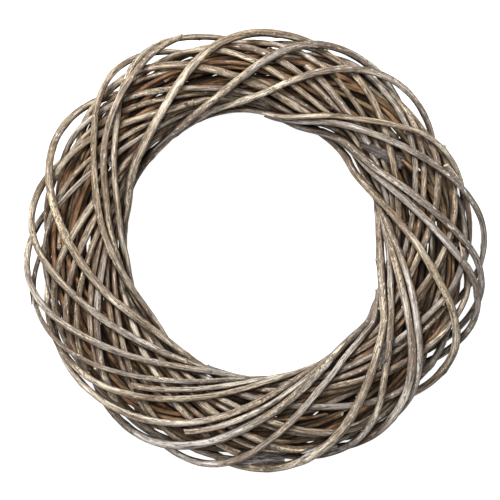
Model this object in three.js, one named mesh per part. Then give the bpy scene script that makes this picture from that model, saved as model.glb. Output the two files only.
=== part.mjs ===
// Willow wreath: a ring of loose willow rods, wound round a bundle of thinner twigs and held by friction.
// Millimetres, +Z up. The wreath lies flat with its ring round the Z axis, and Z = 0 is where it rests.

import * as THREE from 'three';

// Driving dimensions
const outerDiameter = 398;      // over the loops of the over rods
const holeDiameter = 224;       // across the inner edge, before its lobes
const bodyFlatness = 0.94;      // depth of the body's section as a share of its width
const overRod = { butt: 4.0, tip: 2.8, sides: 6, stepsPerRing: 40 };
const underRod = { butt: 3.7, tip: 2.6, sides: 5, stepsPerRing: 36 };
const coreTwig = { butt: 3.3, tip: 2.4, sides: 5, stepsPerRing: 20 };
const rodClearance = 0.3;       // left between two rods that touch
const floorBite = 0.45;         // how much of a rod is worn flat where the wreath rests

// What follows from them. A reach is the distance of a rod's middle line from the middle of the body's section.
const ringRadius = (outerDiameter + holeDiameter) / 4;
const bodyHalfWidth = (outerDiameter - holeDiameter) / 4;
const overReach = bodyHalfWidth - overRod.butt;
const upperReach = overReach - 6.1;
const deepReach = upperReach - 5.6;
const coreReach = deepReach - 6.0;
const bodyMiddle = bodyFlatness * (overReach + overRod.butt) - floorBite;

const tipBulge = 0.35;          // height of a rod's blunt tip, as a share of its radius
const radiusSpread = 0.1;       // how much thicker or thinner a rod may be, as a share

// Settling the rods against each other
const settlePasses = 150;
const closingPasses = 90;
const pullToRule = 0.04;
const smoothing = 0.3;
const ringBins = 18;            // sectors that the ring is searched in
const selfSkip = 2;             // steps along one rod that never touch each other

const degree = Math.PI / 180;
const up = new THREE.Vector3(0, 0, 1);

// The over rods cross the front from the outer edge to the inner edge as they go anticlockwise. Each pass over the
// front gives the angle round the ring at the outer edge, at the middle of the front and at the inner edge, and the
// reach at the outer and the inner edge. start and end are the angles where the rod itself starts and ends, and
// rise is how many degrees the rod takes from the middle of the back to its first outer edge, where it takes longer
// than the others.
const overRods = [
  { start: 135, end: 447, passes: [[192.5, 226.5, 270, 46, 40], [361, 395.5, 448, 49, 35]] },
  { start: 139, end: 502, passes: [[201, 236, 284, 37, 38], [379, 405, 454, 36, 33]] },
  { start: -20, end: 360, passes: [[43, 75.5, 118, 40.5, 33], [209, 254.5, 305, 41, 37]] },
  { start: -2, end: 372, passes: [[62, 92, 133, 34, 33], [234, 267, 318, 39, 41]] },
  { start: 195, end: 400, passes: [[252, 280.5, 336, 41, 36]] },
  { start: 26, end: 412, passes: [[83, 116, 171, 37, 39], [273, 307.5, 359, 39, 43]] },
  { start: 50, end: 424, rise: 46, passes: [[112, 141.5, 186, 44, 41], [291, 317.5, 369, 37.5, 36]] },
  { start: 108, end: 430, passes: [[106, 146, 207, 44, 37], [301, 332, 376, 41, 34]] },
  { start: 66, end: 436, passes: [[124, 152.5, 211, 46.5, 42], [306, 334.5, 380, 36, 35]] },
  { start: 88, end: 452, passes: [[147, 181, 233, 46.5, 42], [328, 353.5, 398, 45, 43.5]] },
  { start: 110, end: 466, passes: [[168, 198.5, 251, 46, 41], [342, 367.5, 412, 50, 36]] },
  { start: 123, end: 474, passes: [[183, 213.5, 257, 47, 40], [348, 374, 420, 49, 33]] },
  { start: 247, end: 386, passes: [[219, 258, 312, 33, 34]] },
  { start: 226, end: 385, passes: [[192, 229.5, 277, 36, 39]] },
];

// The under rods have the opposite hand. The fronts of the upper layer lie at even steps round the ring.
// Two of its rods are short, with a cut end that shows on the front.
const upperRods = { count: 10, firstFront: 64, reach: upperReach, loop: 31, hug: 33.5, span: 388, jitter: 2.5 };
const shortRods = [
  { front: 64, start: 76, end: -60 },
  { front: 244, start: 266.5, end: 122 },
];
const deepRods = { count: 7, firstFront: 75, reach: deepReach, loop: 26, hug: 28, span: 380, jitter: 9 };

// Degrees round the ring from one edge to the other, and how they divide before and after the middle of a face
const halfWind = 90;
const outerShare = 0.38;

// The hole isn't round. Its edge lies further out, or further in where the shift is negative, round the middle of
// each lobe, and the shift fades out at the lobe's spread.
const holeLobes = [
  { middle: 50, spread: 18, shift: 5 },
  { middle: 74, spread: 16, shift: -3 },
  { middle: 105, spread: 32, shift: 9.5 },
  { middle: 139, spread: 31, shift: 8 },
  { middle: 171, spread: 13, shift: 2 },
  { middle: 213, spread: 30, shift: -2.5 },
  { middle: 327, spread: 15, shift: 6 },
];

// Nor is the edge of the body under the loops of the over rods: the upper under rods follow lobes of their own there.
const edgeLobes = [
  { middle: 42, spread: 20, shift: -9 },
  { middle: 152, spread: 18, shift: 5 },
  { middle: 172, spread: 14, shift: 3 },
  { middle: 273, spread: 20, shift: 6 },
  { middle: 346, spread: 16, shift: 5 },
];

const coreTwigs = { count: 20, span: 372, twist: 0.45, outerDraw: 0.12 };

// Seeded random draws, between -1 and 1
let seed = 20261;
function draw() {
  seed = (1664525 * seed + 1013904223) % 4294967296;
  return 2 * (seed / 4294967296) - 1;
}

function lobeShift(lobes, turn) {
  const shifts = lobes.map(({ middle, spread, shift }) => {
    const away = Math.abs(THREE.MathUtils.euclideanModulo(turn / degree - middle + 180, 360) - 180);
    return away < spread ? shift * Math.cos(Math.PI / 2 * away / spread) ** 2 : 0;
  });
  return shifts.reduce((sum, shift) => sum + shift, 0);
}

// A point of the body: turn is the angle round the ring, and wind the angle round the body's section from the
// outer edge over the front
function bodyPoint(turn, wind, reach) {
  const inward = Math.max(0, -Math.cos(wind)) ** 2;
  const radius = ringRadius + reach * Math.cos(wind) + inward * lobeShift(holeLobes, turn);
  const height = bodyMiddle + bodyFlatness * reach * Math.sin(wind);
  return new THREE.Vector3(radius * Math.cos(turn), radius * Math.sin(turn), height);
}

// A slow wave along a rod, made of two waves of its own
function slowWave(size) {
  const first = { rate: 2.2 + 0.8 * draw(), phase: Math.PI * draw() };
  const second = { rate: 4.6 + 1.2 * draw(), phase: Math.PI * draw() };
  return (turn) => size * (0.7 * Math.sin(first.rate * turn + first.phase)
    + 0.3 * Math.sin(second.rate * turn + second.phase));
}

// The rule path of a rod as points, from its start angle to its end angle
function layRod({ name, kind, start, end, windAt, reachAt, colour, outwardAt }) {
  const steps = Math.round(kind.stepsPerRing * Math.abs(end - start) / 360);
  const butt = kind.butt * (1 + radiusSpread * draw());
  const tip = kind.tip * (1 + radiusSpread * draw());
  const rule = [];
  const radii = [];
  for (let step = 0; step <= steps; step += 1) {
    const turn = THREE.MathUtils.lerp(start, end, step / steps) * degree;
    const wind = windAt(turn);
    rule.push(bodyPoint(turn, wind, reachAt(turn, wind)));
    radii.push(THREE.MathUtils.lerp(butt, tip, step / steps));
  }
  return { name, sides: kind.sides, rule, radii, colour, outwardAt, points: rule.map((point) => point.clone()) };
}

// The direction away from the middle of the body's section
function awayFromMiddle(point) {
  const middle = new THREE.Vector3(point.x, point.y, 0).setLength(ringRadius);
  middle.z = bodyMiddle;
  return new THREE.Vector3().subVectors(point, middle);
}

// The wind angle along a rod: 0 at the outer edge, a quarter at the middle of the front, a half at the inner edge,
// and so on through all its passes. hand is 1 anticlockwise and -1 clockwise.
function windThrough(passes, hand, rise = outerShare * halfWind) {
  const angles = passes.flatMap(([outer, front, inner], index) => {
    const next = passes[index + 1] ? passes[index + 1][0] : inner + hand * halfWind;
    return [outer, front, inner, THREE.MathUtils.lerp(inner, next, 1 - outerShare)];
  });
  const [first] = passes[0];
  const before = [(1 + outerShare) * halfWind, halfWind, rise].map((away) => first - hand * away);
  const last = passes[passes.length - 1][2];
  const after = [1, 1 + outerShare, 2].map((share) => last + hand * share * halfWind);
  const turns = [...before, ...angles, ...after].map((angle) => hand * angle * degree);
  const winds = turns.map((_, index) => (index - before.length) * Math.PI / 2);
  const curve = new THREE.CubicInterpolant(turns, winds, 1, []);
  return (turn) => curve.evaluate(hand * turn)[0];
}

// The reach along a rod, which stands out at the outer edge by its loop and lies in at the inner edge by its hug
function reachThrough(passes, base, wave, lobes = []) {
  return (turn, wind) => {
    const index = THREE.MathUtils.clamp(Math.round(wind / (2 * Math.PI)), 0, passes.length - 1);
    const innerIndex = THREE.MathUtils.clamp(Math.floor(wind / (2 * Math.PI)), 0, passes.length - 1);
    const outward = Math.max(0, Math.cos(wind)) ** 2;
    const inward = Math.max(0, -Math.cos(wind)) ** 2;
    const loop = passes[index][3] + lobeShift(lobes, turn);
    const hug = passes[innerIndex][4];
    return base + outward * (loop - base) + inward * (hug - base) + wave(turn);
  };
}

const countFrom = (first, count) => Array.from({ length: count - first }, (_, index) => first + index);

const numbered = (word, index) => `${word}_${String(index + 1).padStart(2, '0')}`;

function layOverRod({ start, end, rise, passes }, index) {
  return layRod({
    name: numbered('over_rod', index),
    kind: overRod,
    start,
    end,
    windAt: windThrough(passes, 1, rise),
    reachAt: reachThrough(passes, overReach, slowWave(0.8)),
    colour: index % 3 ? '#9c8f7c' : '#8d8478',
    outwardAt: awayFromMiddle,
  });
}

// An under rod passes the middle of the front twice, half the ring apart
function layUnderRod(layer, name, front, cut) {
  const passes = [0, 2].map((halves) => {
    const middle = front - halves * halfWind + layer.jitter * draw();
    const outer = middle + outerShare * halfWind;
    const inner = middle - (1 - outerShare) * halfWind;
    return [outer, middle, inner, layer.loop, layer.hug];
  });
  const start = cut ? cut.start : passes[0][0] + halfWind * (0.6 + 0.3 * draw());
  return layRod({
    name,
    kind: underRod,
    start,
    end: cut ? cut.end : start - layer.span,
    windAt: windThrough(passes, -1),
    reachAt: reachThrough(passes, layer.reach, slowWave(1.2), layer === upperRods ? edgeLobes : []),
    colour: layer === deepRods ? '#85796a' : '#94887a',
    outwardAt: awayFromMiddle,
  });
}

// The rods of a layer, every second one turned half round the ring
function layUnderRods(layer, word, first) {
  return countFrom(first, layer.count).map((index) => {
    const front = layer.firstFront + 180 / layer.count * index + 180 * (index % 2);
    return layUnderRod(layer, numbered(word, index), front);
  });
}

function layCoreTwig(index) {
  const start = 7 * index * 360 / coreTwigs.count + 8 * draw();
  const hand = index % 2 ? 1 : -1;
  const inner = index % 3 === 2;
  const wave = slowWave(inner ? 4 : 2);
  const drift = slowWave(0.35);
  const base = (inner ? 0.5 : 0.95) * coreReach;
  const place = 2 * Math.PI * 7 * index / coreTwigs.count;
  return layRod({
    name: numbered('core_twig', index),
    kind: coreTwig,
    start,
    end: start + coreTwigs.span,
    windAt: (turn) => place + hand * coreTwigs.twist * turn + drift(turn),
    reachAt: (turn, wind) => base * (1 - coreTwigs.outerDraw * Math.cos(wind)) + wave(turn),
    colour: index % 4 ? '#8a5a35' : '#7d7263',
    outwardAt: () => up.clone(),
  });
}

// The direction of a rod at each of its points
function rodTangent(points, index) {
  const before = points[Math.max(index - 1, 0)];
  const after = points[Math.min(index + 1, points.length - 1)];
  return new THREE.Vector3().subVectors(after, before).normalize();
}

// The two directions across a rod: away from the body, and along the body's skin
function rodAcross(rod, index) {
  const tangent = rodTangent(rod.points, index);
  const outward = rod.outwardAt(rod.points[index]).projectOnPlane(tangent).normalize();
  return { tangent, outward, sideways: new THREE.Vector3().crossVectors(tangent, outward) };
}

// How far the faceted section of a length reaches in a direction, at the end where it reaches further
function sectionReach(length, direction) {
  const facet = 2 * Math.PI / length.rod.sides;
  return Math.max(...length.ends.map(({ outward, sideways, radius }) => {
    const angle = Math.atan2(direction.dot(sideways), direction.dot(outward));
    const fromFace = THREE.MathUtils.euclideanModulo(angle, facet);
    return radius * Math.cos(fromFace - facet / 2);
  }));
}

// Every rod as straight lengths, sorted into sectors of the ring
function sortLengths(rods) {
  const bins = Array.from({ length: ringBins }, () => []);
  for (const rod of rods) {
    const sections = rod.points.map((_, index) => ({ ...rodAcross(rod, index), radius: rod.radii[index] }));
    for (let index = 0; index + 1 < rod.points.length; index += 1) {
      const line = new THREE.Line3(rod.points[index], rod.points[index + 1]);
      const middle = line.getCenter(new THREE.Vector3());
      const turn = THREE.MathUtils.euclideanModulo(Math.atan2(middle.y, middle.x), 2 * Math.PI);
      const bin = Math.min(ringBins - 1, Math.floor(turn / (2 * Math.PI) * ringBins));
      const ends = [sections[index], sections[index + 1]];
      bins[bin].push({ rod, index, line, middle, ends, size: line.distance() / 2 + overRod.butt });
    }
  }
  return bins;
}

// Moves the two ends of a length so that the point at a share along it moves by the whole shift
function shiftLength(length, share, shift) {
  const spread = (1 - share) ** 2 + share ** 2;
  length.line.start.addScaledVector(shift, (1 - share) / spread);
  length.line.end.addScaledVector(shift, share / spread);
}

const nearOne = new THREE.Vector3();
const nearTwo = new THREE.Vector3();

function pushApart(one, two) {
  if (one.rod === two.rod && Math.abs(one.index - two.index) <= selfSkip) return;
  if (one.middle.distanceTo(two.middle) > one.size + two.size + rodClearance) return;
  const distance = Math.sqrt(one.line.distanceSqToLine3(two.line, nearOne, nearTwo));
  const direction = new THREE.Vector3().subVectors(nearTwo, nearOne).divideScalar(distance);
  const back = direction.clone().negate();
  const depth = sectionReach(one, direction) + sectionReach(two, back) + rodClearance - distance;
  if (depth <= 0) return;
  const shareOne = one.line.closestPointToPointParameter(nearOne, true);
  const shareTwo = two.line.closestPointToPointParameter(nearTwo, true);
  shiftLength(one, shareOne, back.multiplyScalar(depth / 2));
  shiftLength(two, shareTwo, direction.multiplyScalar(depth / 2));
}

// A rod goes back towards its rule path, and its departures from that path are evened out along it
function easeRod(rod) {
  const offsets = rod.points.map((point, index) => point.clone().sub(rod.rule[index]));
  rod.points.forEach((point, index) => {
    const before = offsets[Math.max(index - 1, 0)];
    const after = offsets[Math.min(index + 1, offsets.length - 1)];
    const even = before.clone().add(after).multiplyScalar(0.5).lerp(offsets[index], 1 - smoothing);
    point.copy(rod.rule[index]).addScaledVector(even, 1 - pullToRule);
  });
}

function keepAboveFloor(rod) {
  const facetShare = Math.cos(Math.PI / rod.sides);
  rod.points.forEach((point, index) => {
    point.z = Math.max(point.z, rod.radii[index] * facetShare - floorBite);
  });
}

// Rods that would cross are bent clear of each other, as real rods ride over each other
function settle(rods) {
  for (let pass = 0; pass < settlePasses + closingPasses; pass += 1) {
    if (pass < settlePasses) rods.forEach(easeRod);
    const bins = sortLengths(rods);
    bins.forEach((bin, place) => {
      const next = bins[(place + 1) % ringBins];
      bin.forEach((one, index) => {
        bin.slice(index + 1).forEach((two) => pushApart(one, two));
        next.forEach((two) => pushApart(one, two));
      });
    });
    rods.forEach(keepAboveFloor);
  }
}

// The skin of a rod: a ring of corners at each point, and a blunt tip at each end
function rodGeometry(rod) {
  const corners = [];
  const faces = [];
  const last = rod.points.length - 1;
  const tip = (index, sign) => {
    const { tangent } = rodAcross(rod, index);
    return rod.points[index].clone().addScaledVector(tangent, sign * tipBulge * rod.radii[index]);
  };
  rod.points.forEach((point, index) => {
    const { outward, sideways } = rodAcross(rod, index);
    for (let side = 0; side < rod.sides; side += 1) {
      const angle = 2 * Math.PI * (side + 0.5) / rod.sides;
      corners.push(point.clone()
        .addScaledVector(outward, rod.radii[index] * Math.cos(angle))
        .addScaledVector(sideways, rod.radii[index] * Math.sin(angle)));
    }
  });
  corners.push(tip(0, -1), tip(last, 1));
  for (let index = 0; index < last; index += 1) {
    for (let side = 0; side < rod.sides; side += 1) {
      const a = index * rod.sides + side;
      const b = index * rod.sides + (side + 1) % rod.sides;
      faces.push(a, b, a + rod.sides, b, b + rod.sides, a + rod.sides);
    }
  }
  for (let side = 0; side < rod.sides; side += 1) {
    const next = (side + 1) % rod.sides;
    faces.push(next, side, corners.length - 2);
    faces.push(last * rod.sides + side, last * rod.sides + next, corners.length - 1);
  }
  corners.forEach((corner) => { corner.z = Math.max(corner.z, 0); });
  const geometry = new THREE.BufferGeometry().setFromPoints(corners);
  geometry.setIndex(faces);
  geometry.computeVertexNormals();
  return geometry;
}

function rodMesh(rod) {
  const material = new THREE.MeshStandardMaterial({ color: rod.colour, roughness: 0.85, metalness: 0 });
  const mesh = new THREE.Mesh(rodGeometry(rod), material);
  mesh.name = rod.name;
  return mesh;
}

const rods = [
  ...overRods.map(layOverRod),
  ...shortRods.map((cut, index) => layUnderRod(upperRods, numbered('short_rod', index), cut.front, cut)),
  ...layUnderRods(upperRods, 'under_rod', 1),
  ...layUnderRods(deepRods, 'deep_rod', 0),
  ...countFrom(0, coreTwigs.count).map(layCoreTwig),
];
settle(rods);

const wreath = new THREE.Group();
rods.forEach((rod) => wreath.add(rodMesh(rod)));

// The Z axis goes through the middle of the wreath's outline
const middle = new THREE.Box3().setFromObject(wreath).getCenter(new THREE.Vector3());
wreath.position.set(-middle.x, -middle.y, 0);

export default wreath;
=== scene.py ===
# Willow wreath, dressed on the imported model
import math
import random

import bmesh
import bpy
import numpy as np
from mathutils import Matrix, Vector, kdtree, noise
from mathutils.bvhtree import BVHTree


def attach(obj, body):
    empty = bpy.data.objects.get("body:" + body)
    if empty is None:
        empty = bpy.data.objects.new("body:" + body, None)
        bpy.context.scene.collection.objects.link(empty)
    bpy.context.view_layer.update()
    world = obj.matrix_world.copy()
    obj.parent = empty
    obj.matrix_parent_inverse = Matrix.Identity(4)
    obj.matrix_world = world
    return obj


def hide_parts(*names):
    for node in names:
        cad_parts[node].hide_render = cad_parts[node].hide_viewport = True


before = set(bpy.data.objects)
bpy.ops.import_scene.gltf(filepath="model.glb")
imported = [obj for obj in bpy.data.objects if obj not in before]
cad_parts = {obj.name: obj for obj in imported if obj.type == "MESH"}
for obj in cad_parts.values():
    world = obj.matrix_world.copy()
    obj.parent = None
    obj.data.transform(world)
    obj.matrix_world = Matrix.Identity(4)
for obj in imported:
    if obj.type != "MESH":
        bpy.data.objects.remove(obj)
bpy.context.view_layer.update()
mm = 0.001
tiny = 1e-9         # keeps a division by a length of nothing from failing

print("stage 1: frame loaded,", len(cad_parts), "nodes")


def deselectAll():
    if bpy.context.object and bpy.context.object.mode != "OBJECT":
        bpy.ops.object.mode_set(mode="OBJECT")
    bpy.ops.object.select_all(action="DESELECT")


def pick(obj):
    deselectAll()
    obj.select_set(True)
    bpy.context.view_layer.objects.active = obj


# The look of the bark. Its patterns lie on grainAt, the place on the rod in mm before the rod was bent.
bark = {
    "dark": (0.018, 0.010, 0.006),
    "mid": (0.082, 0.055, 0.035),
    "tan": (0.222, 0.167, 0.109),
    "grey": (0.168, 0.141, 0.117),
    "aged": (0.077, 0.066, 0.058),
    "washPale": (0.372, 0.325, 0.257),    # the wash on the rods that have stayed tan
    # the grey wash also lies more towards the lower right, as painted shade
    "washGrey": (0.326, 0.299, 0.273),    # and on those that the weather has greyed
    "wornCream": (0.436, 0.360, 0.246),
    "chalk": (0.640, 0.610, 0.560),       # specks where the wash has stayed thick
    "fleck": (0.008, 0.005, 0.003),
    "bareDark": (0.015, 0.007, 0.003),    # the red-brown bark that the wash hasn't reached
    "bare": (0.096, 0.047, 0.020),
    "bareLight": (0.225, 0.123, 0.054),
    "oliveBare": (0.080, 0.055, 0.028),   # and the olive-brown bark of some of the rods
    "oliveLight": (0.225, 0.160, 0.078),
    # the near-black of the painted shade in the crevices and under other rods
    "paintedShade": (0.008, 0.003, 0.001),     # where next to no light or air gets in

    "streak": (0.50, 0.50, 0.024),        # how fast each pattern changes, per mm: across, across, along
    "fibre": (2.6, 2.6, 0.11),
    "patch": (0.12, 0.12, 0.017),
    "tone": (0.015, 0.015, 0.0045),
    "speck": (0.85, 0.85, 0.26),
    "crack": (0.95, 0.95, 0.045),
    "worn": (0.18, 0.18, 0.015),

    "midFrom": (0.44, 0.62),              # where each layer begins to show, and where it is whole
    "outerFrom": (0.60, 0.78),
    "greyedFrom": (0.05, 0.65),
    "greyFrom": (0.38, 0.60),
    "agedFrom": (0.3, 1.1),
    "washFrom": (0.74, 0.98),
    "wornFrom": (0.60, 0.70),
    "chalkFrom": (0.63, 0.72),
    "bareFrom": (0.0, 0.45),
    "bareMidFrom": (0.38, 0.50),
    "bareTopFrom": (0.48, 0.64),
    "oliveFrom": (0.25, 0.60),
    "fleckFrom": (0.53, 0.60),
    "fleckRoomFrom": (0.48, 0.62),
    "crackFrom": (0.006, 0.046),
    "shadeFrom": (0.0, 0.46),
    "washReach": (0.1, 0.75),             # how open to the air the bark is where the wash, the wear
    "wornReach": (0.35, 0.8),             # and the chalk begin and are whole
    "chalkReach": (0.3, 0.8),

    "greyedSway": 0.12,                   # how far the weather, open air or another pattern shifts one
    # how far an open place lightens the bark, so that covered bark is painted darker: painted shade
    "paintedShadeSway": 0.20,
    "agedSway": 1.4,
    "wornSway": 0.6,
    "chalkSway": 0.5,

    "agedShare": 0.75,                    # how much each layer hides of what is under it
    "wornShare": 0.7,
    "chalkShare": 0.45,
    "crackShare": 0.85,
    "knotShare": 0.65,
    # how far the painted shade darkens the places where few rays get out
    "paintedShadeShare": 0.96,
    "fleckLeast": 0.35,
    "fleckMore": 0.55,                    # and how much more where the bark is worn

    "roughness": 0.8,
    "specular": 0.18,
    "bump": 0.9,
    "wrinkleDepth": 0.6,                  # mm
}


def startMaterial(name):
    material = bpy.data.materials.new(name)
    material.use_nodes = True
    return material, material.node_tree, material.node_tree.nodes["Principled BSDF"]


def addNode(tree, kind, **settings):
    node = tree.nodes.new(kind)
    for key, value in settings.items():
        setattr(node, key, value)
    return node


def ownValue(tree, name, output="Fac"):
    return addNode(tree, "ShaderNodeAttribute", attribute_name=name).outputs[output]


def noiseAt(tree, place, rate, detail, roughness=0.55):
    stretch = addNode(tree, "ShaderNodeVectorMath", operation="MULTIPLY")
    stretch.inputs[1].default_value = rate
    tree.links.new(place, stretch.inputs[0])
    cloud = addNode(tree, "ShaderNodeTexNoise")
    cloud.inputs["Scale"].default_value = 1
    cloud.inputs["Detail"].default_value = detail
    cloud.inputs["Roughness"].default_value = roughness
    tree.links.new(stretch.outputs[0], cloud.inputs["Vector"])
    return cloud.outputs["Fac"]


# Turns a value between low and high into 0 to 1, with soft ends
def window(tree, value, ends):
    step = addNode(tree, "ShaderNodeMapRange", interpolation_type="SMOOTHSTEP")
    step.inputs["From Min"].default_value, step.inputs["From Max"].default_value = ends
    tree.links.new(value, step.inputs["Value"])
    return step.outputs["Result"]


# One step of arithmetic on two values, each of them a socket or a number
def mathStep(tree, operation, first, second=0.0):
    node = addNode(tree, "ShaderNodeMath", operation=operation)
    for socket, value in zip(node.inputs, (first, second)):
        if isinstance(value, (int, float)):
            socket.default_value = value
        else:
            tree.links.new(value, socket)
    return node.outputs[0]


def times(tree, first, second):
    return mathStep(tree, "MULTIPLY", first, second)


def minus(tree, first, second):
    return mathStep(tree, "SUBTRACT", first, second)


# The sum of some values, each with its own weight
def mixOf(tree, *parts):
    total = 0.0
    for value, weight in parts:
        total = mathStep(tree, "ADD", total, times(tree, value, weight))
    return total


# A value that a pattern sways up and down
def swayed(tree, value, pattern, much):
    return mixOf(tree, (value, 1), (minus(tree, pattern, 0.5), much))


def blendColours(tree, share, first, second):
    node = addNode(tree, "ShaderNodeMix", data_type="RGBA")
    for socket, value in ((node.inputs[0], share), (node.inputs[6], first), (node.inputs[7], second)):
        if isinstance(value, tuple):
            socket.default_value = (*value, 1)
        else:
            tree.links.new(value, socket)
    return node.outputs[2]


def addBump(tree, shader, height, strength, depth):
    bump = addNode(tree, "ShaderNodeBump")
    bump.inputs["Strength"].default_value = strength
    bump.inputs["Distance"].default_value = depth * mm
    tree.links.new(height, bump.inputs["Height"])
    tree.links.new(bump.outputs["Normal"], shader.inputs["Normal"])


# Bark with a thin grey wash: the wash lies where the rod is open to the air, and bare bark shows further in.
# Bark covered by other rods is painted darker, and the crevices near-black, as painted shade.
# bareShare is how open to the air a place may be and still show some bare bark.
def makeBark(name, look, bareShare):
    material, tree, shader = startMaterial(name)
    grain = ownValue(tree, "grainAt", "Vector")
    openness = ownValue(tree, "openness")
    weatheredAndShaded = ownValue(tree, "weatheredAndShaded")
    knot = ownValue(tree, "knot")

    streak = noiseAt(tree, grain, look["streak"], detail=5, roughness=0.62)
    fibre = noiseAt(tree, grain, look["fibre"], detail=3)
    patch = noiseAt(tree, grain, look["patch"], detail=3)
    tone = noiseAt(tree, grain, look["tone"], detail=1)
    speck = noiseAt(tree, grain, look["speck"], detail=3)
    wornPlace = noiseAt(tree, grain, look["worn"], detail=2)
    crack = mathStep(tree, "ABSOLUTE", minus(tree, noiseAt(tree, grain, look["crack"], detail=3), 0.5))

    # open bark is tan or grey with dark streaks, and bark covered by the others is painted darker, as painted
    # shade
    lines = mixOf(tree, (streak, 0.5), (fibre, 0.25), (speck, 0.25))
    # greyed, and the aged bark below, follow each piece's own weather and the painted shade towards the lower
    # right
    greyed = window(tree, weatheredAndShaded, look["greyedFrom"])
    toneHere = swayed(tree, tone, greyed, look["greyedSway"])
    outer = blendColours(tree, window(tree, toneHere, look["greyFrom"]), look["tan"], look["grey"])
    lit = mixOf(tree, (openness, look["paintedShadeSway"]), (lines, 1))
    colour = blendColours(tree, window(tree, lit, look["midFrom"]), look["dark"], look["mid"])
    colour = blendColours(tree, window(tree, lit, look["outerFrom"]), colour, outer)

    agedHere = window(tree, swayed(tree, weatheredAndShaded, patch, look["agedSway"]), look["agedFrom"])
    colour = blendColours(tree, times(tree, agedHere, look["agedShare"]), colour, look["aged"])

    washHere = window(tree, mixOf(tree, (patch, 0.7), (lines, 0.9)), look["washFrom"])
    washFilm = times(tree, washHere, window(tree, openness, look["washReach"]))
    wash = blendColours(tree, greyed, look["washPale"], look["washGrey"])
    colour = blendColours(tree, washFilm, colour, wash)

    wornHere = window(tree, swayed(tree, wornPlace, speck, look["wornSway"]), look["wornFrom"])
    worn = times(tree, wornHere, window(tree, openness, look["wornReach"]))
    colour = blendColours(tree, times(tree, worn, look["wornShare"]), colour, look["wornCream"])

    chalky = minus(tree, 1, swayed(tree, speck, patch, look["chalkSway"]))
    chalkHere = window(tree, chalky, look["chalkFrom"])
    chalk = times(tree, chalkHere, window(tree, openness, look["chalkReach"]))
    colour = blendColours(tree, times(tree, chalk, look["chalkShare"]), colour, look["chalk"])

    # bare bark is red-brown or olive-brown
    bareTone = mixOf(tree, (lines, 0.55), (patch, 0.45))
    olive = window(tree, weatheredAndShaded, look["oliveFrom"])
    bareMid = blendColours(tree, olive, look["bare"], look["oliveBare"])
    bareTop = blendColours(tree, olive, look["bareLight"], look["oliveLight"])
    bareWood = blendColours(tree, window(tree, bareTone, look["bareMidFrom"]), look["bareDark"], bareMid)
    bareWood = blendColours(tree, window(tree, bareTone, look["bareTopFrom"]), bareWood, bareTop)
    bareHere = window(tree, minus(tree, bareShare, openness), look["bareFrom"])
    colour = blendColours(tree, bareHere, colour, bareWood)

    # dark flecks, fewer where the bark isn't worn, cracks, knots, and painted shade in the places further in
    fleckRoom = times(tree, window(tree, wornPlace, look["fleckRoomFrom"]), look["fleckMore"])
    fleckRoom = mathStep(tree, "ADD", fleckRoom, look["fleckLeast"])
    flecks = times(tree, window(tree, speck, look["fleckFrom"]), fleckRoom)
    cracks = times(tree, minus(tree, 1, window(tree, crack, look["crackFrom"])), look["crackShare"])
    marks = mathStep(tree, "MAXIMUM", flecks, cracks)
    marks = mathStep(tree, "MAXIMUM", marks, times(tree, knot, look["knotShare"]))
    colour = blendColours(tree, marks, colour, look["fleck"])
    # painted shade: where few rays get out between the rods, the colour goes near-black
    inShade = times(tree, minus(tree, 1, window(tree, openness, look["shadeFrom"])), look["paintedShadeShare"])
    colour = blendColours(tree, inShade, colour, look["paintedShade"])
    tree.links.new(colour, shader.inputs["Base Color"])

    shader.inputs["Roughness"].default_value = look["roughness"]
    shader.inputs["Specular IOR Level"].default_value = look["specular"]
    height = mixOf(tree, (lines, 1), (speck, 0.4), (marks, -0.5))
    addBump(tree, shader, height, look["bump"], look["wrinkleDepth"])
    return material


cutLook = {
    "wood": (0.30, 0.255, 0.195),
    "ring": (0.17, 0.13, 0.09),
    "pith": (0.06, 0.038, 0.024),
    "saw": (2.2, 2.2, 0.6),     # how fast the roughness of the cut changes, per mm
    "ringsPerMm": 6.5,          # radians of the wave that draws the rings
    "ringFrom": (0.1, 1.6),
    "sawFrom": (0.52, 0.72),
    "pithRadius": 0.7,          # mm
    "pithFrom": (0.0, 0.25),
    "roughness": 0.85,
    "bump": 0.7,
    "bumpDepth": 0.2,           # mm
}


# The pale end grain of a cut rod, with its pith
def makeCutWood(look):
    material, tree, shader = startMaterial("cutWillow")
    grain = ownValue(tree, "grainAt", "Vector")
    flat = addNode(tree, "ShaderNodeVectorMath", operation="MULTIPLY")
    flat.inputs[1].default_value = (1, 1, 0)
    tree.links.new(grain, flat.inputs[0])
    fromMiddle = addNode(tree, "ShaderNodeVectorMath", operation="LENGTH")
    tree.links.new(flat.outputs[0], fromMiddle.inputs[0])
    radius = fromMiddle.outputs["Value"]
    rough = noiseAt(tree, grain, look["saw"], detail=4)
    rings = mathStep(tree, "SINE", mixOf(tree, (radius, look["ringsPerMm"]), (rough, 3)))
    colour = blendColours(tree, window(tree, rings, look["ringFrom"]), look["wood"], look["ring"])
    colour = blendColours(tree, window(tree, rough, look["sawFrom"]), colour, look["ring"])
    pith = window(tree, minus(tree, look["pithRadius"], radius), look["pithFrom"])
    colour = blendColours(tree, pith, colour, look["pith"])
    tree.links.new(colour, shader.inputs["Base Color"])
    shader.inputs["Roughness"].default_value = look["roughness"]
    addBump(tree, shader, rough, look["bump"], look["bumpDepth"])
    return material


# The grey-black outside of a torn strip of old bark
oldBark = {
    "mid": (0.026, 0.020, 0.017),
    "tan": (0.066, 0.054, 0.045),
    "grey": (0.056, 0.048, 0.043),
    "washPale": (0.125, 0.110, 0.097),
    "washGrey": (0.120, 0.110, 0.103),
    "wornCream": (0.140, 0.120, 0.100),
    "chalk": (0.150, 0.138, 0.125),
    "wrinkleDepth": 0.7,
}
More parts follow.
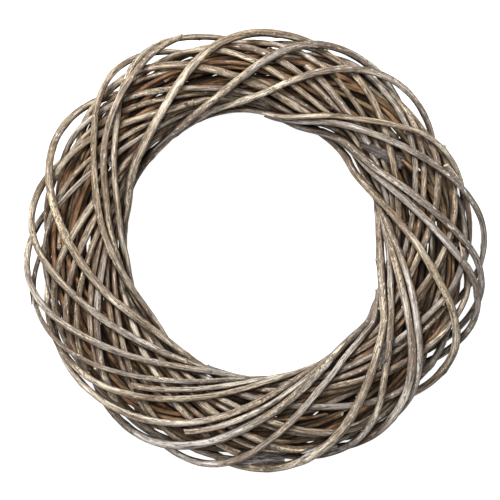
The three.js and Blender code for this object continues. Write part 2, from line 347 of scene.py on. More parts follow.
# of a strip that has bleached to a cool grey
paleBark = {
    "mid": (0.060, 0.052, 0.050),
    "tan": (0.165, 0.146, 0.134),
    "grey": (0.150, 0.138, 0.134),
    "washPale": (0.270, 0.250, 0.236),
    "washGrey": (0.262, 0.250, 0.245),
    "wornCream": (0.250, 0.225, 0.195),
    "chalk": (0.330, 0.315, 0.300),
}
# and of bark painted near-black: painted shadow, for strips that lie in the shade under the rods
shadowBlackBark = {
    "mid": (0.012, 0.010, 0.009),
    "tan": (0.030, 0.025, 0.022),
    "grey": (0.026, 0.023, 0.021),
    "washPale": (0.050, 0.045, 0.041),
    "washGrey": (0.048, 0.045, 0.042),
    "wornCream": (0.045, 0.040, 0.036),
    "chalk": (0.110, 0.105, 0.100),
    "wrinkleDepth": 1.0,
}
# The rods under the over rods get a tanner and darker wash: the tan is their own tone, the darkening is
# painted shade
shadedTanWash = {
    "tan": (0.212, 0.157, 0.101),
    "grey": (0.165, 0.128, 0.094),
    "washPale": (0.290, 0.246, 0.184),
    "washGrey": (0.270, 0.238, 0.205),
    "chalk": (0.480, 0.440, 0.380),
}
materials = {
    "washedWillow": makeBark("washedWillow", bark, 0.28),
    "shadedTanWillow": makeBark("shadedTanWillow", bark | shadedTanWash, 0.34),
    "coreWillow": makeBark("coreWillow", bark, 1.15),
    "dimWillow": makeBark("dimWillow", bark, 0.68),
    "oldBark": makeBark("oldBark", bark | oldBark, 0.10),
    "paleBark": makeBark("paleBark", bark | paleBark, 0.10),
    "shadowBlackBark": makeBark("shadowBlackBark", bark | shadowBlackBark, 0.10),
    "cutWillow": makeCutWood(cutLook),
}
print("stage 2: materials made")


# What a user would change on a rod, by the first word of its node's name. Lengths are in millimetres.
rodLooks = {
    "over": {"material": "washedWillow", "slot": "washed_rod", "sides": 12, "step": 3.0, "fill": 0.87,
             "knotGap": 44, "knotRise": 0.22, "lumps": 0.09, "kink": 0.7},
    "under": {"material": "shadedTanWillow", "slot": "washed_rod", "sides": 12, "step": 3.0, "fill": 0.86,
              "knotGap": 46, "knotRise": 0.20, "lumps": 0.09, "kink": 0.6},
    "short": {"material": "washedWillow", "slot": "washed_rod", "sides": 12, "step": 3.0, "fill": 0.87,
              "knotGap": 60, "knotRise": 0.16, "lumps": 0.08, "kink": 0.5},
    "deep": {"material": "dimWillow", "slot": "washed_rod", "sides": 10, "step": 3.5, "fill": 0.86,
             "knotGap": 55, "knotRise": 0.16, "lumps": 0.08, "kink": 0.5},
    "core": {"material": "coreWillow", "slot": "core_twig", "sides": 10, "step": 4.0, "fill": 0.82,
             "knotGap": 50, "knotRise": 0.18, "lumps": 0.10, "kink": 0.7},
}
# Diameters of the over rods where they start and where they end
overGirths = {
    "over_rod_01": (3.9, 5.9),
    "over_rod_02": (5.6, 4.9),
    "over_rod_03": (6.2, 5.9),
    "over_rod_04": (7.0, 6.9),
    "over_rod_05": (6.1, 5.7),
    "over_rod_06": (7.6, 7.4),
    "over_rod_07": (6.2, 5.2),
    "over_rod_08": (7.8, 5.3),
    "over_rod_09": (6.5, 5.4),
    "over_rod_10": (6.6, 7.0),
    "over_rod_11": (6.0, 6.3),
    "over_rod_12": (6.2, 5.6),
    "over_rod_13": (6.0, 5.4),
    "over_rod_14": (5.2, 4.8),
}
tornStarts = ("over_rod_08", "short_rod_01", "over_rod_13")
dimCore = 2         # of every eight core twigs, how many have dim bark
lineStep = 8        # mm between the points of a rod's middle line
mergeGap = 0.02     # mm between corners that are one


def cornersOf(piece, what):
    values = np.empty(3 * len(piece.data.vertices))
    piece.data.vertices.foreach_get(what, values)
    return values.reshape(-1, 3)


def moveCorners(piece, places):
    piece.data.vertices.foreach_set("co", places.ravel())
    piece.data.update()


# Keeps a value or a place at each corner of a piece, for its material to read
def keepAtCorners(piece, name, values, kind="FLOAT"):
    layer = piece.data.attributes.new(name, kind, "POINT")
    layer.data.foreach_set("vector" if kind == "FLOAT_VECTOR" else "value", np.ravel(values))


# The middles and radii of the rings of corners along a node, read off a merged copy of it
def readRings(nodeObj):
    shape = bmesh.new()
    shape.from_mesh(nodeObj.data)
    bmesh.ops.remove_doubles(shape, verts=shape.verts, dist=mergeGap * mm)

    def walkFrom(start):
        seen = {start}
        levels = [[start]]
        while levels[-1]:
            ahead = []
            for vert in levels[-1]:
                for edge in vert.link_edges:
                    other = edge.other_vert(vert)
                    if other not in seen:
                        seen.add(other)
                        ahead.append(other)
            levels.append(ahead)
        return levels[:-1]

    shape.verts.ensure_lookup_table()
    tip = walkFrom(shape.verts[0])[-1][0]
    rings = [[vert.co.copy() for vert in level] for level in walkFrom(tip)[1:-1]]
    shape.free()
    middles = [sum(ring, Vector()) / len(ring) for ring in rings]
    radii = [max((corner - middle).length for corner in ring) for ring, middle in zip(rings, middles)]
    return np.array(middles), np.array(radii)


# Evenly spaced points on the smooth line through a node's rings
def smoothLine(middles, radii, step):
    spans = np.linalg.norm(np.diff(middles, axis=0), axis=1)[:, None]
    slopes = np.diff(middles, axis=0) / spans
    tangents = np.empty_like(middles)
    tangents[1:-1] = (slopes[:-1] * spans[1:] + slopes[1:] * spans[:-1]) / (spans[:-1] + spans[1:])
    tangents[0] = 2 * slopes[0] - tangents[1]
    tangents[-1] = 2 * slopes[-1] - tangents[-2]
    at = np.concatenate(([0], np.cumsum(spans)))
    places = np.linspace(0, at[-1], round(at[-1] / step) + 1)
    span = np.clip(np.searchsorted(at, places, side="right") - 1, 0, len(spans) - 1)
    share = (places - at[span])[:, None] / spans[span]
    near = (1 + 2 * share) * (1 - share) ** 2 * middles[span]
    near += share * (1 - share) ** 2 * spans[span] * tangents[span]
    far = share ** 2 * (3 - 2 * share) * middles[span + 1]
    far += share ** 2 * (share - 1) * spans[span] * tangents[span + 1]
    return near + far, np.interp(places, at, radii)


# The body that the rods are wound round: the ring's axis is where the core twigs average out
ring = {"radius": 155.5, "middle": 40.4, "flatness": 0.94}


def bodySpot(axis, turn, wind, reach):
    radius = ring["radius"] + reach * math.cos(wind)
    height = ring["middle"] + ring["flatness"] * reach * math.sin(wind)
    x = axis[0] / mm + radius * math.cos(turn)
    y = axis[1] / mm + radius * math.sin(turn)
    return Vector((x, y, height)) * mm


# Thin twigs that lie between the rods and the core. Each wants its own place, and gives way to the rods.
fillTwigs = {
    "count": 11,
    "reach": (24, 29),          # from the middle of the body's section
    "edgeDraw": 7,              # how much nearer to that middle they lie on the outer side and at the hole
    "winds": (0.9, 2.2),        # turns round the body in one turn round the ring
    "span": (180, 320),         # degrees round the ring
    "startDraw": 9,             # degrees
    "mmPerDegree": 3.0,
    "buttRadius": (1.9, 2.5),
    "tipRadius": 1.6,
    "give": 9,                  # how easily they are pushed aside, where a rod has 1
    "look": {"material": "coreWillow", "slot": "core_twig", "sides": 10, "step": 4.0,
             "knotGap": 45, "knotRise": 0.2, "lumps": 0.1, "kink": 0.8},
}


def layFillTwig(number, axis, what):
    dice = random.Random("fill" + str(number))
    hand = 1 if number % 3 else -1
    start = 360 * number / what["count"] + dice.uniform(-what["startDraw"], what["startDraw"])
    span = dice.uniform(*what["span"])
    wind = dice.uniform(-math.pi, math.pi)
    rate = hand * dice.uniform(*what["winds"])
    reach = dice.uniform(*what["reach"])
    thick = dice.uniform(*what["buttRadius"])
    steps = round(span * what["mmPerDegree"] / lineStep)
    points = []
    for step in range(steps + 1):
        turn = math.radians(start + span * step / steps)
        here = wind + rate * (turn - math.radians(start))
        closer = what["edgeDraw"] * math.cos(here) ** 2
        points.append(bodySpot(axis, turn, here, reach - closer))
    return {"points": np.array(points), "radii": np.linspace(thick, what["tipRadius"], len(points)) * mm,
            "look": what["look"], "give": what["give"]}


easing = {
    "rounds": 90,
    "renewEvery": 15,           # rounds between two searches for what lies near
    "nearPast": 9,              # mm past a length's own that the search looks
    "ownLengths": 4,            # how many lengths along one rod count as neighbours, not as a crossing
    "slack": 0.1 * mm,
    "stiffness": 0.22,
    "mostMove": 3.5 * mm,
}


# The nearest places on two sets of short lengths, as shares of each length
def nearestShares(startA, alongA, startB, alongB):
    apart = startA - startB
    aa, bb, ab = (alongA ** 2).sum(1), (alongB ** 2).sum(1), (alongA * alongB).sum(1)
    ag, bg = (alongA * apart).sum(1), (alongB * apart).sum(1)
    slant = np.maximum(aa * bb - ab ** 2, 1e-14)        # next to nothing where the two are parallel
    shareA = np.clip((ab * bg - ag * bb) / slant, 0, 1)
    shareB = np.clip((ab * shareA + bg) / bb, 0, 1)
    return np.clip((ab * shareB - ag) / aa, 0, 1), shareB


# The smooth lines bulge a little past the straight lengths of the nodes, so crossing rods are eased apart
def easeApart(lines, limits):
    points = np.concatenate([line["points"] for line in lines.values()])
    thick = np.concatenate([line["radii"] for line in lines.values()])
    give = np.concatenate([np.full(len(line["points"]), float(line["give"])) for line in lines.values()])
    mostMove = limits["mostMove"] * np.sqrt(give)[:, None]
    owner = np.repeat(np.arange(len(lines)), [len(line["points"]) for line in lines.values()])
    start = points.copy()
    index = np.arange(len(points))
    joined = owner[:-1] == owner[1:]
    before = np.where(np.concatenate(([False], joined)), index - 1, index)
    after = np.where(np.concatenate((joined, [False])), index + 1, index)
    first = index[:-1][joined]
    reach = (lineStep + limits["nearPast"]) * mm

    for turn in range(limits["rounds"]):
        if turn % limits["renewEvery"] == 0:
            middles = (points[first] + points[first + 1]) / 2
            tree = kdtree.KDTree(len(first))
            for place, middle in enumerate(middles):
                tree.insert(middle, place)
            tree.balance()
            pairs = np.array([(place, other) for place, middle in enumerate(middles)
                              for _, other, _ in tree.find_range(middle, reach) if other > place])
            oneA, oneB = first[pairs[:, 0]], first[pairs[:, 1]]
            crossing = (owner[oneA] != owner[oneB]) | (np.abs(oneA - oneB) > limits["ownLengths"])
            oneA, oneB = oneA[crossing], oneB[crossing]
        shift = points - start
        shift += limits["stiffness"] * (shift[before] + shift[after] - 2 * shift)
        size = np.linalg.norm(shift, axis=1, keepdims=True)
        points = start + shift * np.minimum(1, mostMove / np.maximum(size, tiny))
        shareA, shareB = nearestShares(points[oneA], points[oneA + 1] - points[oneA],
                                       points[oneB], points[oneB + 1] - points[oneB])
        shareA, shareB = shareA[:, None], shareB[:, None]
        gap = (points[oneA] * (1 - shareA) + points[oneA + 1] * shareA
               - points[oneB] * (1 - shareB) - points[oneB + 1] * shareB)
        distance = np.linalg.norm(gap, axis=1)
        over = thick[oneA] + thick[oneB] + limits["slack"] - distance
        hit = over > 0
        push = gap[hit] / np.maximum(distance[hit], tiny)[:, None] * over[hit][:, None]
        shareOfA = (give[oneA] / (give[oneA] + give[oneB]))[hit, None]
        moved = np.zeros_like(points)
        count = np.zeros(len(points))
        for ends, share, way in ((oneA, shareA, shareOfA), (oneB, shareB, shareOfA - 1)):
            for corner, weight in ((ends[hit], 1 - share[hit]), (ends[hit] + 1, share[hit])):
                np.add.at(moved, corner, way * push * weight)
                np.add.at(count, corner, weight[:, 0])
        points += moved / np.maximum(count, 1)[:, None]
        points[:, 2] = np.maximum(points[:, 2], thick)
    moves = np.linalg.norm(points - start, axis=1) / mm
    print("  most overlap left", round(over.max() / mm, 2), "mm, most moved: rods",
          round(moves[give == 1].max(), 2), "mm, fill twigs", round(moves[give > 1].max(), 2), "mm")
    for number, line in enumerate(lines.values()):
        line["points"] = points[owner == number]


# The stubs of side shoots that broke off at some of the knots. Lengths are in millimetres.
snags = {
    "share": 0.14,              # of the knots that have one
    "leastRadius": 2.3,
    "length": (0.9, 1.9),
    "lean": (0.4, 1.1),         # along the rod for every 1 outwards
    "seat": 3,                  # from the rod's middle
    "inset": 0.25,
    "steps": (0.45, 0.55),      # the shares of the length that it grows by
    "narrowing": 0.72,          # at each step
}


def growSnag(rod, place, side, dice):
    pick(rod)
    bpy.ops.object.mode_set(mode="EDIT")
    bpy.ops.mesh.select_mode(type="FACE")
    bpy.ops.mesh.select_all(action="DESELECT")
    shape = bmesh.from_edit_mesh(rod.data)
    aim = Vector((place * mm, snags["seat"] * mm * math.cos(side), snags["seat"] * mm * math.sin(side)))
    middle = {face: face.calc_center_median() for face in shape.faces if len(face.verts) == 4}
    seat = min(middle, key=lambda face: (middle[face] - aim).length)
    seat.select_set(True)
    outward = seat.normal.copy()
    lean = Vector((dice.uniform(*snags["lean"]), 0, 0))
    length = dice.uniform(*snags["length"]) * mm
    start = middle[seat]
    bmesh.update_edit_mesh(rod.data)
    bpy.ops.mesh.inset(thickness=snags["inset"] * mm, depth=0)
    for share in snags["steps"]:
        step = (outward + lean).normalized() * length * share
        start = start + step
        bpy.ops.mesh.extrude_region_move(TRANSFORM_OT_translate={"value": step})
        bpy.ops.transform.resize(value=[snags["narrowing"]] * 3, center_override=start)
    bpy.ops.object.mode_set(mode="OBJECT")


# How much a section strays from round, and what a knot is like: the mm along the rod and the radians round it
# that its swelling and its scar take, and the share of each that goes all round
section = {"quickLumps": 0.6, "oval": 0.035, "threeSided": 0.02}
knotShape = {
    "first": (0.3, 0.9),        # times the gap between knots
    "next": (0.55, 1.5),
    "clearOfEnd": 12,
    "swell": (4.2, 0.8, 0.3),
    "scar": (1.8, 0.5, 0.25),
}
grainGap = 40       # how far apart the grain of two rods starts, so that none is like another


# How strong a knot's swelling or scar still is, so far along the rod and round it from the knot
def fadeFrom(along, around, shape):
    length, turn, allRound = shape
    return np.exp(-(along / length) ** 2) * (allRound + (1 - allRound) * np.exp(-(around / turn) ** 2))


# A straight rod along X with taper, lumps, knots and a slight zigzag, before it is bent
def shapeStraightRod(name, length, radii, look, dice):
    bpy.ops.mesh.primitive_cylinder_add(vertices=look["sides"], radius=radii.mean(), depth=length,
                                        end_fill_type="NGON", location=(length / 2, 0, 0),
                                        rotation=(0, math.pi / 2, 0))
    rod = bpy.context.object
    rod.name = name + "_bark"
    bpy.ops.object.transform_apply(location=True, rotation=True, scale=True)
    bpy.ops.object.mode_set(mode="EDIT")
    bpy.ops.mesh.select_mode(type="EDGE")
    pieces = round(length / (4 * look["step"] * mm))
    for cuts in (pieces - 1, 3):
        shape = bmesh.from_edit_mesh(rod.data)
        for edge in shape.edges:        # those that run along the rod
            edge.select_set(abs(edge.verts[0].co.x - edge.verts[1].co.x) > 0.5 * mm)
        bmesh.update_edit_mesh(rod.data)
        bpy.ops.mesh.subdivide(number_cuts=cuts)
    bpy.ops.object.mode_set(mode="OBJECT")

    places = cornersOf(rod, "co")
    along = places[:, 0] / mm
    turn = np.arctan2(places[:, 2], places[:, 1])
    seed = dice.uniform(0, 900)
    stations = np.linspace(0, length / mm, pieces * 4 + 1)

    def wander(rate, offset):
        return np.interp(along, stations, [noise.noise(Vector((x * rate, seed, offset))) for x in stations])

    radius = np.interp(along, np.linspace(0, length / mm, len(radii)), radii)
    lumps = wander(rate=0.02, offset=0) + section["quickLumps"] * wander(rate=0.07, offset=5)
    radius *= 1 + look["lumps"] * lumps
    oval = np.cos(2 * (turn - 3 * wander(rate=0.006, offset=9)))
    threeSided = np.cos(3 * turn + 4 * wander(rate=0.01, offset=13))
    radius *= 1 + section["oval"] * oval + section["threeSided"] * threeSided

    knots = []
    place = dice.uniform(*knotShape["first"]) * look["knotGap"]
    while place < length / mm - knotShape["clearOfEnd"]:
        knots.append((place, dice.uniform(-math.pi, math.pi)))
        place += look["knotGap"] * dice.uniform(*knotShape["next"])
    scars = np.zeros(len(along))
    for place, side in knots:
        around = np.abs((turn - side + math.pi) % (2 * math.pi) - math.pi)
        radius *= 1 + look["knotRise"] * fadeFrom(along - place, around, knotShape["swell"])
        scars = np.maximum(scars, fadeFrom(along - place, around, knotShape["scar"]))
    bends = [0] + [place for place, _ in knots] + [length / mm]
    sideways = [[dice.uniform(-1, 1) * look["kink"] * mm for _ in bends] for _ in "yz"]

    grain = np.stack((radius / mm * np.cos(turn), radius / mm * np.sin(turn), along + grainGap * seed),
                     axis=1)
    offAxis = np.hypot(places[:, 1], places[:, 2]) > 1e-6
    places[:, 1] = np.where(offAxis, radius * np.cos(turn), 0) + np.interp(along, bends, sideways[0])
    places[:, 2] = np.where(offAxis, radius * np.sin(turn), 0) + np.interp(along, bends, sideways[1])
    moveCorners(rod, places)
    keepAtCorners(rod, "grainAt", grain, "FLOAT_VECTOR")
    keepAtCorners(rod, "knot", scars)
    keepAtCorners(rod, "along", along)
    for place, side in knots:
        if dice.random() < snags["share"] and radii.mean() > snags["leastRadius"] * mm:
            growSnag(rod, place, side, dice)
    return rod


# Bends the straight rod along its middle line with a Curve modifier
def bendRod(rod, points):
    deselectAll()
    bpy.ops.curve.primitive_bezier_curve_add(location=(0, 0, 0))
    guide = bpy.context.object
    guide.data.dimensions = "3D"
    guide.data.twist_mode = "MINIMUM"
    guide.data.resolution_u = 5
    guide.data.use_stretch = True
    guide.data.use_deform_bounds = True
    spline = guide.data.splines[0]
    spline.bezier_points.add(len(points) - len(spline.bezier_points))
    for handle, point in zip(spline.bezier_points, points):
        handle.co = point
        handle.handle_left_type = "AUTO"
        handle.handle_right_type = "AUTO"
    pick(rod)
    bend = rod.modifiers.new("bend", "CURVE")
    bend.object = guide
    bend.deform_axis = "POS_X"
    bpy.ops.object.modifier_apply(modifier=bend.name)
    guideData = guide.data
    bpy.data.objects.remove(guide)
    bpy.data.curves.remove(guideData)


# How the ends are cut, and how some of them are torn. Lengths are in millimetres.
endCuts = {
    "slant": (15, 50),          # degrees
    "near": 22,                 # only what is this near to the end is cut
    "shorten": 4.5,
    "rim": 0.45,
    "tornStub": 1.2,
    "tornPoint": (2.2, 3.4),
    "ragged": 2.2,
    "raggedOut": 0.7,
}


# Cuts one end on the slant, and gives the cut a bark rim and an end-grain face
def cutEnd(rod, end, outward, atStart, length, dice, torn=False):
    slant = math.radians(dice.uniform(*endCuts["slant"]))
    sideways = outward.cross(Vector((dice.uniform(-1, 1), dice.uniform(-1, 1), -0.6))).normalized()
    sideways = sideways.cross(outward).normalized()
    if sideways.z < 0:
        sideways = -sideways
    facing = (outward * math.cos(slant) + sideways * math.sin(slant)).normalized()
    pick(rod)
    bpy.ops.object.mode_set(mode="EDIT")
    bpy.ops.mesh.select_mode(type="FACE")
    bpy.ops.mesh.select_all(action="DESELECT")
    shape = bmesh.from_edit_mesh(rod.data)
    alongLayer = shape.verts.layers.float["along"]
    for face in shape.faces:
        marks = [vert[alongLayer] for vert in face.verts]
        fromEnd = max(marks) if atStart else length / mm - min(marks)
        face.select_set(fromEnd < endCuts["near"])
    bmesh.update_edit_mesh(rod.data)
    bpy.ops.mesh.bisect(plane_co=end - outward * endCuts["shorten"] * mm, plane_no=facing, use_fill=True,
                        clear_outer=True)
    bpy.ops.mesh.inset(thickness=endCuts["rim"] * mm, depth=0)
    rod.active_material_index = 1
    bpy.ops.object.material_slot_assign()
    if torn:
        tearEnd(facing, dice)
    bpy.ops.object.mode_set(mode="OBJECT")


# Draws the end face out into a ragged splinter
def tearEnd(facing, dice):
    bpy.ops.mesh.extrude_region_move(TRANSFORM_OT_translate={"value": facing * endCuts["tornStub"] * mm})
    bpy.ops.mesh.poke(offset=dice.uniform(*endCuts["tornPoint"]) * mm)
    bpy.ops.mesh.subdivide(number_cuts=1, fractal=endCuts["ragged"],
                           fractal_along_normal=endCuts["raggedOut"], seed=dice.randrange(900))


# How many rays look for the open air, how wide they fan, how far off the bark they start, and how far they go
wash = {"rays": 8, "spreads": (0.45, 1.25), "lift": 0.3, "reach": 40}


# How open each corner is: the share of short rays from it that find a way out between the rods. The wash,
# the wear and the chalk lie where it is open, and covered bark and crevices get painted shade where it is
# closed
def washRods(rods, look):
    corners, faces = [], []
    for rod in rods:
        offset = len(corners)
        corners.extend(cornersOf(rod, "co").tolist())
        faces.extend([offset + corner for corner in face.vertices] for face in rod.data.polygons)
    wall = BVHTree.FromPolygons(corners, faces)
    for rod in rods:
        openness = []
        for place, facing in zip(cornersOf(rod, "co"), cornersOf(rod, "normal")):
            facing = Vector(facing)
            side = facing.orthogonal().normalized()
            other = facing.cross(side)
            start = Vector(place) + facing * look["lift"] * mm
            free = 0
            for turn in range(look["rays"]):
                angle = 2 * math.pi * turn / look["rays"]
                ray = facing + (side * math.cos(angle) + other * math.sin(angle)) * look["spreads"][turn % 2]
                free += wall.ray_cast(start, ray.normalized(), look["reach"] * mm)[0] is None
            openness.append(free / look["rays"])
        keepAtCorners(rod, "openness", openness)


# How grey and dark a piece is: some more than others at random, from the weather, and most at the lower
# right, a painted shade
weather = {"middle": 0.3, "own": 0.55, "shadeSlope": 0.34, "towards": (0.86, -0.5), "across": 200}


def weatherPiece(piece, dice):
    own = dice.uniform(-weather["own"], weather["own"])
    x, y, _ = (cornersOf(piece, "co") / mm).T
    towards = (weather["towards"][0] * x + weather["towards"][1] * y) / weather["across"]
    # the slope towards the lower right is painted shade, the own share is the piece's own weather
    keepAtCorners(piece, "weatheredAndShaded", weather["middle"] + own + weather["shadeSlope"] * towards)


def restOnFloor(rod):
    places = cornersOf(rod, "co")
    places[:, 2] = np.maximum(places[:, 2], 0)
    moveCorners(rod, places)


def makeRod(name, points, radii, look):
    dice = random.Random(name)
    length = float(np.linalg.norm(np.diff(points, axis=0), axis=1).sum())
    deselectAll()
    rod = shapeStraightRod(name, length, radii, look, dice)
    rod.data.materials.append(materials[look["material"]])
    rod.data.materials.append(materials["cutWillow"])
    bendRod(rod, points)
    start, end = Vector(points[0]), Vector(points[-1])
    beforeStart = (start - Vector(points[2])).normalized()
    pastEnd = (end - Vector(points[-3])).normalized()
    cutEnd(rod, start, beforeStart, True, length, dice, torn=name in tornStarts)
    cutEnd(rod, end, pastEnd, False, length, dice)
    bpy.ops.object.shade_smooth_by_angle(angle=math.radians(48))
    restOnFloor(rod)
    weatherPiece(rod, dice)
    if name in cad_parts:
        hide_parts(name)
    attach(rod, "root")
    return rod


# The height of the uppermost rod at a place seen from the front
def topOfRods(lines, spot):
    heights = [0]
    for line in lines.values():
        away = np.linalg.norm(line["points"][:, :2] - spot, axis=1)
        near = away < line["radii"] + lineStep / 2 * mm
        heights.extend((line["points"][near, 2] + line["radii"][near]) / mm)
    return max(heights)


# A place by degrees round the ring and mm from its axis
def spotAt(axis, place):
    turn = math.radians(place["turn"])
    return axis[:2] + place["radius"] * mm * np.array((math.cos(turn), math.sin(turn)))


def finishScrap(scrap, material, dice):
    bpy.ops.object.transform_apply(location=True, rotation=True, scale=True)
    bpy.ops.object.mode_set(mode="EDIT")
    bpy.ops.mesh.select_all(action="SELECT")
    bpy.ops.mesh.normals_make_consistent(inside=False)
    bpy.ops.object.mode_set(mode="OBJECT")
    bpy.ops.object.shade_smooth_by_angle(angle=math.radians(50))
    for name in ("knot", "along"):
        scrap.data.attributes.new(name, "FLOAT", "POINT")
    scrap.data.materials.append(materials[material])
    weatherPiece(scrap, dice)
    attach(scrap, "root")
    return scrap


# Strips of torn bark that are caught under the over rods. heading is the way that a strip points, seen from
# the front, under how far below the uppermost rod it lies, and tip its width at the narrow end, in mm. height
# is for a strip that no rod lies over.
barkFlakes = [
    {"turn": 36.8, "radius": 139, "under": 1.5, "heading": -24, "length": 38, "width": 13, "tip": 3,
     "curl": 1.2, "fray": 0.4, "material": "oldBark"},
    # the next two are torn bark whose near-black colour is painted shadow
    {"turn": 321.0, "radius": 145, "under": 4.0, "heading": 66, "length": 20, "width": 8, "tip": 6,
     "curl": 2.4, "fray": 1.1, "material": "shadowBlackBark"},
    {"turn": 327.4, "radius": 150, "under": 4.0, "heading": 40, "length": 10, "width": 7, "tip": 5,
     "curl": 2.0, "fray": 1.1, "material": "shadowBlackBark"},
    {"turn": 271.5, "radius": 187, "height": 37, "heading": 1, "length": 44, "width": 14, "tip": 10,
     "curl": 1.0, "fray": 0.3, "material": "paleBark"},
    {"turn": 287.5, "radius": 186, "under": 5.0, "heading": 19, "length": 30, "width": 8, "tip": 4,
     "curl": 1.0, "fray": 0.3, "material": "paleBark"},
]
flakeShape = {
    "grid": (36, 12),
    "thickness": (0.9, 1.3),    # mm
    "wave": 0.8,                # mm up and down along the strip
    "waveTurn": 3.2,
    "endRate": 9,               # how fast the ragged ends and the frayed sides change
    "sideRate": 6,
    "grainStart": 700,
    "grainGap": 60,
}


def makeBarkFlake(number, flake, lines, axis):
    dice = random.Random("flake" + str(number))
    shape = flakeShape
    deselectAll()
    bpy.ops.mesh.primitive_grid_add(x_subdivisions=shape["grid"][0], y_subdivisions=shape["grid"][1], size=1)
    strip = bpy.context.object
    strip.name = f"bark_flake_{number + 1:02d}"
    share, across, _ = cornersOf(strip, "co").T
    share = share + 0.5
    ragged = np.array([noise.noise(Vector((shape["endRate"] * side, 3.1 * number, 0.5))) for side in across])
    frayed = np.array([noise.noise(Vector((shape["sideRate"] * place, 5 * number, 2 * np.sign(side))))
                       for place, side in zip(share, across)])
    along = (share - 0.5) * flake["length"] * (1 + flake["fray"] * ragged * np.abs(2 * share - 1))
    width = flake["tip"] + (flake["width"] - flake["tip"]) * np.sqrt(share)
    sideways = across * width * (1 + flake["fray"] * frayed)
    arch = flake["curl"] * (0.5 - (2 * across) ** 2)
    arch += shape["wave"] * np.sin(shape["waveTurn"] * share + number)
    places = np.stack((along, sideways, arch), axis=1)
    moveCorners(strip, places * mm)
    grain = places[:, [1, 2, 0]] + (0, 0, shape["grainStart"] + shape["grainGap"] * number)
    keepAtCorners(strip, "grainAt", grain, "FLOAT_VECTOR")
    thicken = strip.modifiers.new("bark thickness", "SOLIDIFY")
    thicken.thickness = dice.uniform(*shape["thickness"]) * mm
    thicken.offset = 0
    pick(strip)
    bpy.ops.object.modifier_apply(modifier=thicken.name)
    spot = spotAt(axis, flake)
    height = flake["height"] if "height" in flake else topOfRods(lines, spot) - flake["under"]
    strip.rotation_euler = (0, 0, math.radians(flake["heading"]))
    strip.location = (*spot, height * mm)
    return finishScrap(strip, flake["material"], dice)


# Torn fibres that stand off the rods. heading is the way that each points, seen from the front, and rise how
# steeply it goes up, in degrees; length and thick are in mm.
splinters = [
    {"turn": 357.5, "radius": 180, "heading": 100, "rise": 12, "length": 15, "thick": 1.3,
     "material": "cutWillow"},
    {"turn": 356.0, "radius": 178, "heading": 62, "rise": 20, "length": 11, "thick": 1.1,
     "material": "cutWillow"},
    {"turn": 359.5, "radius": 182, "heading": 128, "rise": 8, "length": 9, "thick": 1.2,
     "material": "cutWillow"},
    {"turn": 189.5, "radius": 202, "heading": -84, "rise": -5, "length": 20, "thick": 1.2,
     "material": "oldBark"},
    {"turn": 115.0, "radius": 140, "heading": 15, "rise": 30, "length": 8, "thick": 1.2,
     "material": "cutWillow"},
    {"turn": 114.0, "radius": 138, "heading": 70, "rise": 35, "length": 6, "thick": 1.3,
     "material": "cutWillow"},
    {"turn": 116.4, "radius": 141, "heading": -20, "rise": 25, "length": 7, "thick": 1.0,
     "material": "oldBark"},
    {"turn": 317.6, "radius": 149, "heading": 50, "rise": 25, "length": 9, "thick": 1.2,
     "material": "oldBark"},
    {"turn": 316.0, "radius": 151, "heading": 110, "rise": 30, "length": 7, "thick": 1.1,
     "material": "cutWillow"},
    {"turn": 343.0, "radius": 171, "heading": 80, "rise": 18, "length": 8, "thick": 1.1,
     "material": "cutWillow"},
]
splinterShape = {
    "sides": 6,
    "cuts": 3,
    "flat": 1.7,                # times wider than thick
    "sway": 2.2,                # mm sideways
    "bow": 0.10,                # of its length, upwards
    "wobble": 0.4,
    "tip": 0.06,                # of its thickness
    "sink": 0.8,                # mm into the rod
    "grainStart": 900,
    "grainGap": 40,
}


def makeSplinter(number, what, lines, axis):
    dice = random.Random("splinter" + str(number))
    shape = splinterShape
    deselectAll()
    bpy.ops.mesh.primitive_cylinder_add(vertices=shape["sides"], radius=what["thick"] / 2 * mm,
                                        depth=what["length"] * mm, end_fill_type="NGON")
    fibre = bpy.context.object
    fibre.name = f"splinter_{number + 1:02d}"
    bpy.ops.object.mode_set(mode="EDIT")
    bpy.ops.mesh.select_all(action="SELECT")
    bpy.ops.mesh.subdivide(number_cuts=shape["cuts"])
    bpy.ops.object.mode_set(mode="OBJECT")
    places = cornersOf(fibre, "co") / mm
    share = places[:, 2] / what["length"] + 0.5
    wobble = np.array([noise.noise(Vector((3 * place, number, 7))) for place in share])
    slim = np.maximum(1 - share, 0) ** 0.6 * (1 + shape["wobble"] * wobble) + shape["tip"]
    grain = places + (0, 0, shape["grainStart"] + shape["grainGap"] * number)
    sideways = places[:, 0] * slim * shape["flat"] + shape["sway"] * wobble * share
    upwards = places[:, 1] * slim + what["length"] * shape["bow"] * share ** 2
    moveCorners(fibre, np.stack((share * what["length"], sideways, upwards), axis=1) * mm)
    keepAtCorners(fibre, "grainAt", grain, "FLOAT_VECTOR")
    pick(fibre)
    spot = spotAt(axis, what)
    fibre.rotation_euler = (0, -math.radians(what["rise"]), math.radians(what["heading"]))
    fibre.location = (*spot, (topOfRods(lines, spot) - shape["sink"]) * mm)
    return finishScrap(fibre, what["material"], dice)


# The wreath: a smooth line for each node and each fill twig, eased apart, and then the pieces on them
lines = {}
for name, nodeObj in sorted(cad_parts.items()):
    word, _, number = name.split("_")
    look = dict(rodLooks[word])
    if word == "core" and int(number) * 3 % 8 < dimCore:
        look["material"] = "dimWillow"
    points, radii = smoothLine(*readRings(nodeObj), lineStep * mm)
    radii = radii * look["fill"]
    if name in overGirths:
        radii = np.linspace(*overGirths[name], len(radii)) / 2 * mm
    lines[name] = {"points": points, "radii": radii, "look": look, "give": 1}

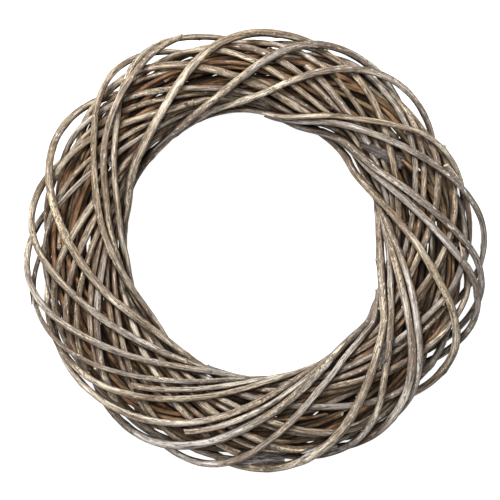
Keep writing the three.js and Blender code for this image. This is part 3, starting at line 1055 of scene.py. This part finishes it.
core = np.concatenate([line["points"] for name, line in lines.items() if name.startswith("core")])
ringAxis = core.mean(axis=0)
for number in range(fillTwigs["count"]):
    lines[f"fill_twig_{number + 1:02d}"] = layFillTwig(number, ringAxis, fillTwigs)
easeApart(lines, easing)
pieces = [makeRod(name, line["points"], line["radii"], line["look"]) for name, line in lines.items()]
pieces += [makeBarkFlake(number, flake, lines, ringAxis) for number, flake in enumerate(barkFlakes)]
pieces += [makeSplinter(number, what, lines, ringAxis) for number, what in enumerate(splinters)]
triangles = sum(len(face.vertices) - 2 for piece in pieces for face in piece.data.polygons)
print("stage 3: rods, bark and fibres made,", len(pieces), "pieces,", triangles, "triangles")
washRods(pieces, wash)
print("stage 4: wash laid on")


# The floor, the lamps and the camera
studio = {
    "floorSize": 6,                       # metres, as are the places and sizes of the lamps
    "floorColour": (0.20, 0.20, 0.20),
    "floorGlow": 0.93,                    # the table is lit from below as well, so that it stays white
    "floorRoughness": 0.9,
    "floorSpecular": 0.1,
    "cameraPlace": (-4.9, -1.7, 1541),    # mm from the ring's axis
    "viewWidth": 446.0,                   # mm across the picture at the wreath's mid height
    "midHeight": 41,
    "keyPlace": (-0.50, 0.95, 1.65),
    "keySize": 0.45,
    "keyPower": 104,
    "frontPlace": (-0.10, 0.20, 2.3),
    "frontSize": 0.8,
    "frontPower": 84,
    "skyStrength": 0.03,
}


def addSoftLight(name, place, size, power):
    bpy.ops.object.light_add(type="AREA", location=place)
    lamp = bpy.context.object
    lamp.name = name
    lamp.data.shape = "DISK"
    lamp.data.size = size
    lamp.data.energy = power
    lamp.rotation_euler = (-Vector(place)).to_track_quat("-Z", "Y").to_euler()


def layFloor(look):
    deselectAll()
    bpy.ops.mesh.primitive_plane_add(size=look["floorSize"], location=(0, 0, 0))
    floor = bpy.context.object
    floor.name = "floor"
    paper, _, shader = startMaterial("palePaper")
    shader.inputs["Base Color"].default_value = (*look["floorColour"], 1)
    shader.inputs["Roughness"].default_value = look["floorRoughness"]
    shader.inputs["Specular IOR Level"].default_value = look["floorSpecular"]
    shader.inputs["Emission Color"].default_value = (1, 1, 1, 1)
    shader.inputs["Emission Strength"].default_value = look["floorGlow"]
    floor.data.materials.append(paper)


def lightStudio(look):
    addSoftLight("keyLight", look["keyPlace"], look["keySize"], look["keyPower"])
    addSoftLight("frontLight", look["frontPlace"], look["frontSize"], look["frontPower"])
    world = bpy.data.worlds.new("paleStudio")
    world.use_nodes = True
    sky = world.node_tree.nodes["Background"]
    sky.inputs["Color"].default_value = (1, 1, 1, 1)
    sky.inputs["Strength"].default_value = look["skyStrength"]
    bpy.context.scene.world = world
    bpy.context.scene.view_settings.view_transform = "Standard"


def placeCamera(axis, look):
    place = Vector((axis[0], axis[1], 0)) + Vector(look["cameraPlace"]) * mm
    bpy.ops.object.camera_add(location=place, rotation=(0, 0, 0))
    camera = bpy.context.object
    camera.name = "photoCamera"
    distance = place.z - look["midHeight"] * mm
    camera.data.lens = camera.data.sensor_width * distance / (look["viewWidth"] * mm)
    bpy.context.scene.camera = camera


layFloor(studio)
lightStudio(studio)
placeCamera(ringAxis, studio)
print("stage 5: studio and camera set")
